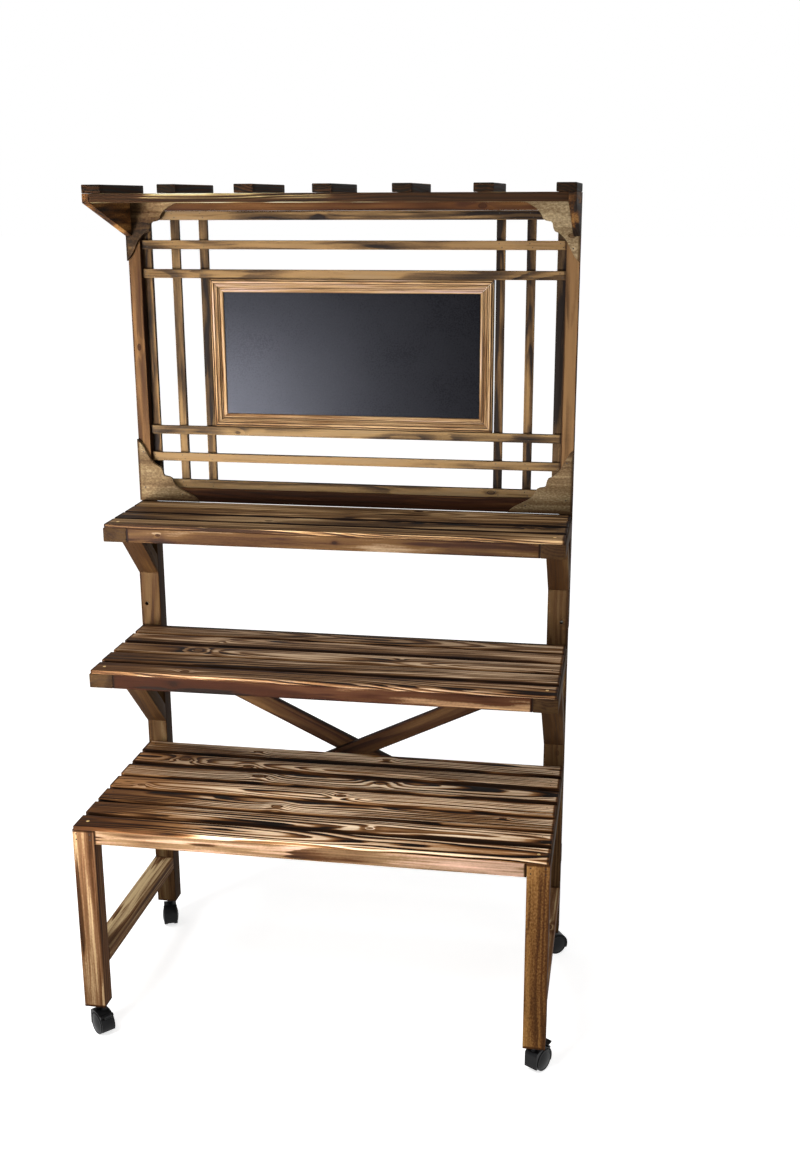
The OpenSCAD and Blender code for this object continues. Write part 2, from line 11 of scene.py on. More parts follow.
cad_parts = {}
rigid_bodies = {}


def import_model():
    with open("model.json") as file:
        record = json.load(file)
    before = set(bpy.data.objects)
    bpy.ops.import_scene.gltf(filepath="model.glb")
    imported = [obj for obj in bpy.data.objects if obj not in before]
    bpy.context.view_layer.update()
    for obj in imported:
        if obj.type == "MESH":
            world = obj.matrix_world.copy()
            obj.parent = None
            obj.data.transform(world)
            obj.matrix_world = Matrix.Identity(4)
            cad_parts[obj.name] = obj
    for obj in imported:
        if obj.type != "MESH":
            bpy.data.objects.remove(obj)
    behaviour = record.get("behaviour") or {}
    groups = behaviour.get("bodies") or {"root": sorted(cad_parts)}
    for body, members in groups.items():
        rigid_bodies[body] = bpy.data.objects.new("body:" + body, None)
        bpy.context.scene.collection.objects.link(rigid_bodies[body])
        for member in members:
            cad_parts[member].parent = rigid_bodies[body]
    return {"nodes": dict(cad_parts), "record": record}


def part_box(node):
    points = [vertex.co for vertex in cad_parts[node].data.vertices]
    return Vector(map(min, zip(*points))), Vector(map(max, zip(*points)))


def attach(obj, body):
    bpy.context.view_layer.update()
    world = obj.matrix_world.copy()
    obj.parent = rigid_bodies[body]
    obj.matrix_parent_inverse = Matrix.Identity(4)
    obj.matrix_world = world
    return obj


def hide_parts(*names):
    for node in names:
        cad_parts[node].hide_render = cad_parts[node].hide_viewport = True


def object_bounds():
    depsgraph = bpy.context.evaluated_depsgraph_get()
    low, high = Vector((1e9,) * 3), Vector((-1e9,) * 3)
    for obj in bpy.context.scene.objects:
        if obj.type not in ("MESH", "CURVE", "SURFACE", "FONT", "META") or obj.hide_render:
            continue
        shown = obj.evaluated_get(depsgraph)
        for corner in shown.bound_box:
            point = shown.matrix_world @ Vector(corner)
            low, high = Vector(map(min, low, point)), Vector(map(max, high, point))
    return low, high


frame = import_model()
cad_low, cad_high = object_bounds()
SLOT_OF = {s["node"]: s["material_slot"] for s in frame["record"]["subparts"]}
BODY_OF = {n: b for b, nodes in frame["record"]["behaviour"]["bodies"].items() for n in nodes}

# Camera, fitted to the photograph: place, turn to the left, tilt, roll and focal length
CAMERA_PLACE = Vector((0.5975, -2.6267, 1.6864))
CAMERA_YAW = 0.169201
CAMERA_PITCH = -0.274702
CAMERA_ROLL = -0.0035576
CAMERA_LENS_MM = 42.166
SENSOR_MM = 36

# Lamps: place, size and watts, with the board's light aimed at the chalkboard and held narrow
KEY_LIGHT = ((-1.4, -2.4, 4.1), 1.6, 135)
FILL_LIGHT = ((2.8, -2.6, 2.4), 2.0, 14)
BOARD_LIGHT = ((-1.35, -2.6, 0.55), 0.8, 23)
BOARD_LIGHT_AIM = (-0.2, 0.2, 1.2)
BOARD_LIGHT_SPREAD = math.radians(40)

# Plain light from all round, and the floor: half its width, and the glow that pales its shadow
AMBIENT = 0.44
FLOOR_HALF = 60
FLOOR_LIFT = 0.68

# Making of the boards: which count as straight along an axis, and soft, worn edges. Pairs are
# for a shelf slat and for any other board.
STRAIGHT = 0.99
WELD = 1e-5
FLAT_ANGLE = 0.01
SHARP_ANGLE = math.radians(38)
EDGE_SOFTNESS = (0.0003, 0.0007)
EDGE_STEPS = 2
LOOP_SPACING = 0.025
WEAR_DEPTH = (0.00012, 0.0003)
WEAR_SCALE = 38

# Uneven ends of the shelf slats, and the panel's bottom rail brought down to the top shelf
SLAT_END_ZONE = 0.004
SLAT_END_SPREAD = 0.0018
RAIL_FOOT = 0.003
RAIL_DROP = 0.0018

# Where a board's heart lies, across and through it, and how steeply the heart leans in those two
# directions. The outer pairs are again for a shelf slat and for any other board.
HEART_ACROSS = 0.03
HEART_DEPTH = ((0.010, 0.026), (0.05, 0.11))
HEART_LEAN = ((0.03, 0.05), (0.004, 0.012))
LEAST_LEAN = 0.4

# How far boards of one wood differ in lightness, char and redness
TINT_SPREAD = (0.05, 0.28, 0.03)

# Knots of the boards that KNOTS doesn't name: chance, reach in shares of the half sizes, radius
KNOT_CHANCE = 0.22
KNOT_REACH = (0.85, 0.6)
KNOT_RADIUS = (0.003, 0.006)

# Char at the sides and ends of boards, as strengths, and where it starts on the half width; a start
# past 1 leaves most of a side clear. The side strengths also set the painted shade on the sides' own
# faces. On the shelf slats the dark sides are char with painted shade in the gaps between slats, and
# the front face of a shelf's front slat, which faces the light, keeps little of it
SIDE_CHAR_AND_SHADE = (0.5, 0.85)
PALE_SIDE_SHARE = 0.5
PALE_SIDES = ("pale_apron", "frame", "left_leg")
SLAT_CHAR_AND_SHADE = 0.94
FRONT_SLAT_CHAR_AND_SHADE = 0.10
CHAR_START = 0.78
SLAT_CHAR_AND_SHADE_START = (0.62, 1.25)
MOST_LEFT_CHAR = 0.4
END_CHAR = (0.5, 0.85)
APRON_END_CHAR = 0.92

# Screw and nail heads: radii, how deep they sit, and as shares of the radius a low dome's rings,
# out and up, its middle, up on a nail and down in a screw, and the screw's cross recess
SCREW_R = 0.0036
NAIL_R = 0.0018
CROSSING_NAIL_R = NAIL_R * 0.8
HEAD_SINK = 0.0004
HEAD_STEPS = 24
HEAD_RINGS = ((1.0, -0.5), (1.0, 0.0), (0.86, 0.16), (0.45, 0.24))
CENTRE_HEIGHT = 0.25
CROSS_HUB = 0.2
CROSS_ARM = 0.42
CROSS_SHARPNESS = 6

# Places of screws and nails: how near a shelf's front edge a slat has screws, how far in from
# the ends they are, the nails' shares of a slat's width, and their places in from a leg's sides
# and top, right and up from a crossing's middle, and in and up from a bracket's corner
FRONT_REACH = 0.01
SCREW_IN = 0.022
NAIL_IN = 0.020
SLAT_NAIL_SHARES = (0.3, 0.7)
LEG_NAIL_IN = 0.008
LEG_NAIL_DROPS = (0.009, 0.021)
CROSSING_NAILS = ((-0.003, 0.004), (0.003, -0.004))
BRACKET_NAILS = ((0.014, 0.11), (0.014, 0.03), (0.10, 0.016))

# Patterns of the woods: their mean, how far a board's seed moves them, and of each its scale
# along, across and through a board, its detail and its roughness
NOISE_MEAN = 0.5
SEED_SHIFT = (3.1, 1.7, 2.3)
WANDER = ((3, 9, 9), 1, 0.5)
RIPPLE = ((4, 90, 90), 2, 0.5)
PATCH = ((2.6, 26, 26), 3, 0.55)
STREAK = ((3, 130, 130), 4, 0.62)
SPECKLE = ((200, 330, 330), 2, 0.5)
CHAR_EDGE = ((5, 40, 40), 2, 0.5)
FIBRES = ((12, 700, 700), 2, 0.6)

# Growth rings: the heart's wander across and through, the rings' ripple and unevenness as shares
# of their spacing, and where in a ring the late wood sets in and ends
HEART_WANDER = (0.016, 0.024)
RING_RIPPLE = 0.8
RING_UNEVENNESS = 1.6
UNEVEN_ALONG = (80, 0, 0)
UNEVEN_SEED = (0, 9, 0)
LATE_RISE = (0.25, 0.80)
LATE_FALL = (0.90, 1.0)

# Knots: the radius that stands for none, width against length, heartwood and rim in knot radii
NO_KNOT = 1e-5
KNOT_SLIMNESS = 0.55
HEARTWOOD_END = (0.45, 0.75)
HEARTWOOD_DARK = 0.55
RIM_RISE = (0.5, 0.75)
RIM_FALL = (0.85, 1.2)
RIM_DARK = 0.75

# Wood round a knot: how fast the swirl dies out and, in strongly ringed woods and in the others,
# how far it pushes the rings aside, in knot radii, and how much darker the wood is there
SWIRL_FADE = -0.17
STRONG_RINGS = 0.4
SWIRL_PUSH = (1.9, 0.8)
HALO_DARK = (-0.10, 0.08)

# Darkness: means taken off so that the level stays the plain wood's, patches with bolder rings, and
# the round grooves of the frame's moulding, darker with stain and painted shade in their hollows
LATE_MEAN = 0.42
PATCH_MEAN = 0.45
PATCH_EDGE = (0.38, 0.64)
RINGS_OUTSIDE = 0.65
RINGS_IN_PATCH = 0.7
GROOVE_SPACING = 0.0034
GROOVE_EDGE = (0.3, 0.95)

# Pale arrises, brushed wear with a painted highlight where edges catch the light: metres in from the
# corner, the streaks that show there, and how much darker, here lighter, they are
ARRIS_REACH = (0.0008, 0.0028)
ARRIS_STREAKS = (0.35, 0.6)
ARRIS_DARK = -0.34

# Char and painted shade: the char's ragged edge, its blur, the sides' own faces, where painted shade
# lies with less of it towards the top, the scorch at a left end as shares of the half length, and
# the ends in metres
CHAR_RAGGED = 0.8
CHAR_BLUR = 0.25
FLANK = (0.93, 0.99)
FLANK_UP = (-0.5, 0.5)
FLANK_TOP = -0.65
LEFT_CHAR = (0.35, 1.0)
END_RAGGED = 0.004
END_REACH = (0.0022, 0.0062)

# Colour, gloss and relief of the woods
TAN_AT = 0.34
BROWN_AT = 0.66
FIBRE_LIGHT = 0.5
FIBRE_BASE = 0.75
EARLY_ROUGHNESS = 0.76
LATE_GLOSS = -0.1
WOOD_SPECULAR = 0.06
LATE_RELIEF = 0.7
FIBRE_RELIEF = 0.5
RELIEF_DEPTH = 0.0004
RELIEF_STRENGTH = 0.5

# Speckled plastic, paint and metal: the broad wear's scale as a share of the speckle's, the
# lighter tone, and how much the fine speckle and the broad wear change colour and gloss
BROAD_SCALE = 0.03
LIGHTER_GAIN = 1.7
LIGHTER_LIFT = 0.004
FINE_COLOUR = 0.5
BROAD_COLOUR = 0.4
FINE_GLOSS = 0.14
BROAD_GLOSS = 0.1
GLOSS_MEAN = 0.12


def tone(red, green, blue):
    """A colour given as it shows on screen, from 0 to 255, as the shader's linear colour."""
    def linear(c):
        c /= 255
        return c / 12.92 if c <= 0.04045 else ((c + 0.055) / 1.055) ** 2.4
    return (linear(red), linear(green), linear(blue), 1)


# Woods: four tones from pale to char, how far along them the plain wood lies, how strongly the
# rings, scorched patches, streaks, speckle and moulded grooves show, the grooves darkened with stain
# and painted shade, and the rings' spacing
WOODS = {
    "post": (tone(104, 86, 61), tone(73, 54, 32), tone(60, 39, 18), tone(27, 11, 3),
             0.46, 0.24, 0.30, 0.34, 0.08, 0, 0.0070),
    # Left leg lighter and right leg darker: partly their own tone, partly painted light and shade
    # from the light at the front left
    "left_leg": (tone(199, 168, 123), tone(119, 84, 54), tone(78, 47, 24), tone(22, 11, 4),
                 0.47, 0.42, 0.20, 0.74, 0.10, 0, 0.0090),
    "right_leg": (tone(185, 150, 92), tone(153, 109, 59), tone(90, 56, 27), tone(22, 12, 6),
                  0.44, 0.12, 0.44, 0.22, 0.30, 0, 0.0090),
    "slat": (tone(255, 226, 190), tone(160, 115, 73), tone(91, 56, 29), tone(14, 6, 2),
             0.46, 0.86, 0.50, 0.40, 0.06, 0, 0.0062),
    # Middle and top shelves' slats: darker copies of the slat wood, painted shade from the shelf and
    # canopy above
    "middle_slat": (tone(192, 164, 133), tone(117, 86, 57), tone(70, 44, 23), tone(16, 6, 2),
                    0.50, 0.70, 0.50, 0.40, 0.06, 0, 0.0060),
    "top_slat": (tone(175, 146, 108), tone(113, 85, 55), tone(45, 26, 12), tone(4, 1, 0),
                 0.46, 0.44, 0.44, 0.40, 0.06, 0, 0.0058),
    # Bottom apron lighter and middle apron darker: partly their own tone, partly painted light and
    # shade
    "pale_apron": (tone(216, 176, 154), tone(127, 100, 70), tone(73, 45, 25), tone(20, 10, 4),
                   0.42, 0.40, 0.34, 0.52, 0.07, 0, 0.0070),
    "red_apron": (tone(167, 133, 96), tone(61, 36, 20), tone(40, 18, 7), tone(14, 6, 2),
                  0.50, 0.30, 0.66, 0.26, 0.06, 0, 0.0110),
    "tan_apron": (tone(136, 117, 94), tone(68, 47, 25), tone(38, 20, 9), tone(11, 4, 1),
                  0.46, 0.26, 0.44, 0.32, 0.06, 0, 0.0080),
    "panel": (tone(94, 67, 40), tone(59, 38, 19), tone(39, 20, 8), tone(10, 4, 1),
              0.50, 0.22, 0.42, 0.32, 0.07, 0, 0.0080),
    "trellis": (tone(95, 77, 55), tone(98, 76, 48), tone(60, 44, 27), tone(16, 10, 7),
                0.46, 0.26, 0.66, 0.50, 0.10, 0, 0.0050),
    "frame": (tone(143, 122, 116), tone(130, 105, 74), tone(77, 50, 26), tone(23, 12, 6),
              0.29, 0.14, 0.16, 0.70, 0.05, 0.7, 0.0036),
    "canopy": (tone(171, 168, 144), tone(129, 111, 73), tone(51, 30, 14), tone(9, 5, 1),
               0.52, 0.66, 0.36, 0.30, 0.06, 0, 0.0064),
    "bracket": (tone(126, 110, 84), tone(86, 70, 48), tone(60, 43, 25), tone(21, 13, 6),
                0.42, 0.12, 0.32, 0.22, 0.36, 0, 0.0070),
}
# The wood of the boards whose names hold each of these words; the first that fits counts
WOOD_OF = {
    # The stretcher takes the left leg's lighter wood: painted light against the shade it sits in
    "left_front_leg": "left_leg", "stretcher": "left_leg", "right_front_leg": "right_leg",
    "top_shelf_slats": "top_slat", "middle_shelf_slats": "middle_slat", "shelf_slats": "slat",
    "bottom_apron": "pale_apron", "middle_apron": "red_apron", "top_apron": "tan_apron",
    "chalkboard_frame": "frame", "trellis": "trellis", "panel": "panel", "cross": "panel",
    "bracket": "bracket", "canopy": "canopy", "gusset": "right_leg",
}
# Boards whose grain doesn't run along their longest way: axes along, across and through
GRAIN_AXES = {"bracket": (0, 2, 1), "gusset": (1, 2, 0)}

# Boards that are lighter, more or less charred, or redder than their wood
TINTS = {
    # The stretcher's lighter tint is painted light against the shade it sits in
    "side_rails": (0.0, 0.2, -0.10), "stretcher": (0.20, -0.2, -0.04),
    "chalkboard_frame_0": (0.0, 0.0, 0.03), "chalkboard_frame_1": (-0.15, 0.3, 0.0),
    "chalkboard_frame_3": (-0.12, 0.2, 0.0),
    "upper_left_bracket": (-0.20, 0.5, 0.07), "left_gusset": (-0.30, 0.4, -0.02),
    "right_gusset": (-0.40, 0.3, -0.08),
    "canopy_boards": (-0.28, 0.0, 0.02), "panel_bottom_rail": (0.10, 0.0, 0.07),
    "panel_top_rail": (-0.04, 0.1, 0.10), "canopy_front_rail": (0.20, -0.2, -0.05),
    "trellis_upright": (-0.34, 0.2, 0.02), "panel_post": (0.30, 0.0, -0.03),
}
# Slats scorched at their left ends
LEFT_BURNS = {
    "bottom_shelf_slats_0": 0.8, "bottom_shelf_slats_1": 0.62, "bottom_shelf_slats_2": 0.6,
    "bottom_shelf_slats_3": 0.35, "middle_shelf_slats_0": 0.5, "middle_shelf_slats_1": 0.6,
}
# Knots on chosen boards, as shares of the half length and half width, with their radius. The
# frame's members are clear of knots.
KNOTS = {
    "bottom_shelf_slats_6": [(-0.44, 0.1, 0.006), (0.18, 0.1, 0.005)],
    "bottom_shelf_slats_5": [(-0.76, 0.0, 0.008), (-0.44, -0.5, 0.007)],
    "bottom_shelf_slats_4": [(-0.36, 0.2, 0.009), (0.20, 0.4, 0.009)],
    "bottom_shelf_slats_3": [(-0.86, -0.5, 0.005), (0.05, 0.0, 0.007)],
    "bottom_shelf_slats_2": [(-0.20, -0.2, 0.007), (0.78, 0.5, 0.004)],
    "middle_shelf_slats_2": [(-0.62, 0.0, 0.007), (0.3, 0.2, 0.003)],
    "top_shelf_slats_0": [(-0.80, -0.6, 0.0024), (-0.55, -0.7, 0.0024)],
    "top_apron_0": [(-0.84, 0.2, 0.0028), (0.03, 0.1, 0.0028)],
    "panel_bottom_rail_0": [(-0.36, 0.3, 0.004), (0.2, 0.0, 0.005)],
    "panel_top_rail_0": [(0.62, -0.5, 0.005), (-0.2, 0.0, 0)],
    "top_left_brace_0": [(0.3, 0.1, 0.005), (-0.2, 0.2, 0.003)],
    "left_panel_post_0": [(0.3, 0.0, 0.004), (-0.5, 0.2, 0.003)],
}
KNOTS |= {f"chalkboard_frame_{member}": [(0, 0, 0)] * 2 for member in range(4)}


def wood_of(node):
    return next((wood for word, wood in WOOD_OF.items() if word in node), "post")


class Graph:
    """Short calls that add and join the nodes of one material."""

    def __init__(self, name):
        self.material = bpy.data.materials.new(name)
        self.material.use_nodes = True
        self.nodes = self.material.node_tree.nodes
        self.links = self.material.node_tree.links
        self.shader = self.nodes["Principled BSDF"]

    def put(self, value, socket):
        if isinstance(value, bpy.types.NodeSocket):
            self.links.new(value, socket)
        else:
            socket.default_value = value

    def math(self, operation, a, b=0.0, c=0.0, clamp=False):
        made = self.nodes.new("ShaderNodeMath")
        made.operation = operation
        made.use_clamp = clamp
        for value, socket in zip((a, b, c), made.inputs):
            self.put(value, socket)
        return made.outputs[0]

    def distance(self, a, b):
        squares = self.math("MULTIPLY", a, a), self.math("MULTIPLY", b, b)
        return self.math("SQRT", self.math("ADD", *squares))

    def vector(self, operation, a, b):
        made = self.nodes.new("ShaderNodeVectorMath")
        made.operation = operation
        self.put(a, made.inputs[0])
        self.put(b, made.inputs[1])
        return made.outputs["Vector"]

    def scaled(self, vector, factor):
        made = self.nodes.new("ShaderNodeVectorMath")
        made.operation = "SCALE"
        self.put(vector, made.inputs[0])
        self.put(factor, made.inputs["Scale"])
        return made.outputs["Vector"]

    def smooth(self, value, low, high):
        made = self.nodes.new("ShaderNodeMapRange")
        made.interpolation_type = "SMOOTHSTEP"
        self.put(value, made.inputs["Value"])
        self.put(low, made.inputs["From Min"])
        self.put(high, made.inputs["From Max"])
        return made.outputs["Result"]

    def fade(self, value, low, high):
        return self.math("SUBTRACT", 1, self.smooth(value, low, high))

    def mix(self, share, a, b):
        made = self.nodes.new("ShaderNodeMix")
        made.data_type = "RGBA"
        self.put(share, made.inputs["Factor"])
        self.put(a, made.inputs[6])
        self.put(b, made.inputs[7])
        return made.outputs[2]

    def noise(self, vector, scale, detail, roughness=0.5):
        made = self.nodes.new("ShaderNodeTexNoise")
        self.put(vector, made.inputs["Vector"])
        self.put(scale, made.inputs["Scale"])
        self.put(detail, made.inputs["Detail"])
        self.put(roughness, made.inputs["Roughness"])
        return made.outputs["Fac"], made.outputs["Color"]

    def attribute(self, name):
        made = self.nodes.new("ShaderNodeAttribute")
        made.attribute_name = name
        return made.outputs["Vector"]

    def split(self, vector):
        made = self.nodes.new("ShaderNodeSeparateXYZ")
        self.put(vector, made.inputs[0])
        return made.outputs[0], made.outputs[1], made.outputs[2]

    def bump(self, height, depth, strength=1.0):
        made = self.nodes.new("ShaderNodeBump")
        made.inputs["Strength"].default_value = strength
        made.inputs["Distance"].default_value = depth
        self.links.new(height, made.inputs["Height"])
        self.links.new(made.outputs[0], self.shader.inputs["Normal"])


def wood_material(name, pale, tan, brown, black,
                  level, rings, patches, streaks, speckle, grooves, spacing):
    """Charred and brushed softwood. One darkness, from 0 to 1, picks the colour from pale wood to
    char; rings, scorched patches, streaks, edges, ends and knots all add to it. The dark sides and
    the moulding's grooves carry painted shade besides char and stain, and the pale arrises a painted
    highlight besides wear."""
    g = Graph("wood_" + name)
    weak = rings <= STRONG_RINGS
    grain = g.attribute("grain")
    along, across, through = g.split(grain)
    half = g.attribute("half")
    half_u, half_v, half_w = g.split(half)
    share_u, share_v, _ = g.split(g.vector("DIVIDE", grain, half))
    heart_v, heart_w, seed = g.split(g.attribute("heart"))
    lean_v, lean_w, _ = g.split(g.attribute("lean"))
    light, char_more, red = g.split(g.attribute("tint"))
    moved = g.vector("ADD", grain, g.scaled(SEED_SHIFT, seed))

    def grain_noise(scale, detail, roughness):
        return g.noise(g.vector("MULTIPLY", moved, scale), 1, detail, roughness)

    # Growth rings round a heart line that leans through the board and wanders a little, so
    # that they show as long pointed flames; knots push them aside
    _, wander = grain_noise(*WANDER)
    wander_v, wander_w, _ = g.split(g.vector("SUBTRACT", wander, (NOISE_MEAN,) * 3))
    from_v = g.math("SUBTRACT", across, g.math("MULTIPLY_ADD", lean_v, along, heart_v))
    from_v = g.math("MULTIPLY_ADD", wander_v, HEART_WANDER[0], from_v)
    from_w = g.math("SUBTRACT", through, g.math("MULTIPLY_ADD", lean_w, along, heart_w))
    from_w = g.math("MULTIPLY_ADD", wander_w, HEART_WANDER[1], from_w)
    ripple, _ = grain_noise(*RIPPLE)
    radius = g.math("MULTIPLY_ADD", ripple, spacing * RING_RIPPLE, g.distance(from_v, from_w))
    core = 0.0
    halo = 0.0
    for knot in ("knot_a", "knot_b"):
        knot_u, knot_v, knot_r = g.split(g.attribute(knot))
        du = g.math("MULTIPLY", g.math("SUBTRACT", along, knot_u), KNOT_SLIMNESS)
        dv = g.math("SUBTRACT", across, knot_v)
        reach = g.math("DIVIDE", g.distance(du, dv), g.math("MAXIMUM", knot_r, NO_KNOT))
        swirl = g.math("MULTIPLY", g.math("MULTIPLY", reach, reach), SWIRL_FADE)
        swirl = g.math("EXPONENT", swirl)
        push = g.math("MULTIPLY", knot_r, SWIRL_PUSH[weak])
        radius = g.math("MULTIPLY_ADD", swirl, push, radius)
        halo = g.math("MAXIMUM", halo, swirl)
        heartwood = g.math("MULTIPLY", g.fade(reach, *HEARTWOOD_END), HEARTWOOD_DARK)
        rim = g.math("MULTIPLY", g.smooth(reach, *RIM_RISE), g.fade(reach, *RIM_FALL))
        rim = g.math("MULTIPLY", rim, RIM_DARK)
        core = g.math("MAXIMUM", core, g.math("MAXIMUM", heartwood, rim))
    uneven_at = g.vector("ADD", g.scaled(UNEVEN_ALONG, radius), g.scaled(UNEVEN_SEED, seed))
    uneven, _ = g.noise(uneven_at, 1, 1)
    phase = g.math("FRACT", g.math("ADD", g.math("DIVIDE", radius, spacing),
                                   g.math("MULTIPLY", uneven, RING_UNEVENNESS)))
    late = g.math("MULTIPLY", g.smooth(phase, *LATE_RISE), g.fade(phase, *LATE_FALL))

    # Rings, scorched patches, streaks and speckle, and the frame's grooves, darkened with stain and
    # painted shade
    patch, _ = grain_noise(*PATCH)
    patch = g.smooth(patch, *PATCH_EDGE)
    streak, _ = grain_noise(*STREAK)
    dots, _ = grain_noise(*SPECKLE)
    ring = g.math("MULTIPLY", g.math("SUBTRACT", late, LATE_MEAN),
                  g.math("MULTIPLY_ADD", patch, RINGS_IN_PATCH, RINGS_OUTSIDE))
    scorched = g.math("MULTIPLY", g.math("SUBTRACT", patch, PATCH_MEAN),
                      g.math("ADD", 1, char_more))
    dark = g.math("SUBTRACT", level, light)
    for share, strength in ((ring, rings), (scorched, patches),
                            (g.math("SUBTRACT", streak, NOISE_MEAN), 2 * streaks),
                            (g.math("SUBTRACT", dots, NOISE_MEAN), 2 * speckle),
                            (halo, HALO_DARK[weak])):
        dark = g.math("MULTIPLY_ADD", share, strength, dark)
    if grooves:
        # Darker bands in the moulding's grooves: stain and painted shade in the hollows
        turn = g.math("MULTIPLY", g.math("ADD", through, half_w), math.tau / GROOVE_SPACING)
        groove = g.smooth(g.math("SINE", turn), *GROOVE_EDGE)
        dark = g.math("MULTIPLY_ADD", groove, grooves, dark)

    # Pale lines along the arrises: brushed wear and a painted highlight where the edges catch the
    # light
    in_v = g.math("SUBTRACT", half_v, g.math("ABSOLUTE", across))
    in_w = g.math("SUBTRACT", half_w, g.math("ABSOLUTE", through))
    arris = g.fade(g.distance(in_v, in_w), *ARRIS_REACH)
    brushed_and_highlit = g.math("MULTIPLY", arris, g.smooth(streak, *ARRIS_STREAKS))
    dark = g.math("MULTIPLY_ADD", brushed_and_highlit, ARRIS_DARK, dark, clamp=True)

    # Char along the two sides and at the ends, and in the hearts of the knots. The sides' darkening
    # is char with painted shade: the flank darkens the sides' own faces, less towards the top, and
    # on the shelf slats it stands for the shade in the gaps between slats
    ragged, _ = grain_noise(*CHAR_EDGE)
    ragged = g.math("MULTIPLY", g.math("SUBTRACT", ragged, NOISE_MEAN), CHAR_RAGGED)
    low_burn_and_shade, high_burn_and_shade, burn_end = g.split(g.attribute("burn"))
    low_start, high_start, left_burn = g.split(g.attribute("scorch"))
    up = g.smooth(g.math("DIVIDE", through, half_w), *FLANK_UP)
    under = g.math("MULTIPLY_ADD", up, FLANK_TOP, 1)
    chars_and_shades = []
    for burn, start, outward in ((low_burn_and_shade, low_start, g.math("MULTIPLY", share_v, -1)),
                                 (high_burn_and_shade, high_start, share_v)):
        broad = g.smooth(g.math("ADD", ragged, outward), start,
                         g.math("ADD", start, CHAR_BLUR))
        # Painted shade, with char, on the side's own face, lighter towards its top
        flank_char_and_shade = g.math("MULTIPLY", g.smooth(outward, *FLANK), under)
        chars_and_shades.append(g.math("MULTIPLY", burn, g.math("MAXIMUM", broad, flank_char_and_shade)))
    left = g.smooth(g.math("SUBTRACT", ragged, share_u), *LEFT_CHAR)
    in_u = g.math("SUBTRACT", half_u, g.math("ABSOLUTE", along))
    end = g.fade(g.math("MULTIPLY_ADD", ragged, END_RAGGED, in_u), *END_REACH)
    chars_and_shades += [g.math("MULTIPLY", left, left_burn), g.math("MULTIPLY", end, burn_end), core]
    char_and_shade = 0.0
    for each in chars_and_shades:
        char_and_shade = g.math("MAXIMUM", char_and_shade, each, clamp=True)
    dark = g.math("MULTIPLY_ADD", g.math("SUBTRACT", 1, dark), char_and_shade, dark)

    # Colour from the darkness, with fine fibres and the board's own redness
    ramp = g.nodes.new("ShaderNodeValToRGB")
    stops = ramp.color_ramp.elements
    stops[0].color = pale
    stops[1].color = black
    stops.new(TAN_AT).color = tan
    stops.new(BROWN_AT).color = brown
    g.put(dark, ramp.inputs[0])
    fibres, _ = grain_noise(*FIBRES)
    bright = g.math("MULTIPLY_ADD", fibres, FIBRE_LIGHT, FIBRE_BASE)
    tinted = g.nodes.new("ShaderNodeCombineXYZ")
    g.put(g.math("MULTIPLY", bright, g.math("ADD", 1, red)), tinted.inputs[0])
    g.put(bright, tinted.inputs[1])
    g.put(g.math("MULTIPLY", bright, g.math("SUBTRACT", 1, red)), tinted.inputs[2])
    colour = g.vector("MULTIPLY", ramp.outputs[0], tinted.outputs[0])
    g.put(colour, g.shader.inputs["Base Color"])
    roughness = g.math("MULTIPLY_ADD", late, LATE_GLOSS, EARLY_ROUGHNESS)
    g.put(roughness, g.shader.inputs["Roughness"])
    g.shader.inputs["Specular IOR Level"].default_value = WOOD_SPECULAR
    relief = g.math("ADD", g.math("MULTIPLY", late, LATE_RELIEF),
                    g.math("MULTIPLY", fibres, FIBRE_RELIEF))
    g.bump(relief, RELIEF_DEPTH, RELIEF_STRENGTH)
    return g.material


def speckled_material(name, colour, rough, metal=0.0, grain=900, depth=0.0001,
                      specular=0.5, sparkle=0.0):
    """Moulded plastic, plated or painted metal, or satin paint: a fine speckle in colour,
    gloss and relief, and broad faint wear."""
    g = Graph(name)
    place = g.nodes.new("ShaderNodeTexCoord").outputs["Object"]
    fine, _ = g.noise(place, grain, 2, 0.6)
    broad, _ = g.noise(place, grain * BROAD_SCALE, 3)
    lighter = tuple(min(1, c * LIGHTER_GAIN + LIGHTER_LIFT) for c in colour[:3]) + (1,)
    wear = g.math("MULTIPLY", broad, BROAD_COLOUR)
    wear = g.math("MULTIPLY_ADD", fine, FINE_COLOUR, wear)
    g.put(g.mix(wear, colour, lighter), g.shader.inputs["Base Color"])
    roughness = g.math("ADD", g.math("MULTIPLY_ADD", fine, FINE_GLOSS, rough - GLOSS_MEAN),
                       g.math("MULTIPLY", broad, BROAD_GLOSS))
    g.put(roughness, g.shader.inputs["Roughness"])
    g.shader.inputs["Metallic"].default_value = metal
    if sparkle:
        glints = g.math("MULTIPLY_ADD", fine, sparkle, specular - sparkle / 2)
        g.put(glints, g.shader.inputs["Specular IOR Level"])
    else:
        g.shader.inputs["Specular IOR Level"].default_value = specular
    g.bump(fine, depth)
    return g.material


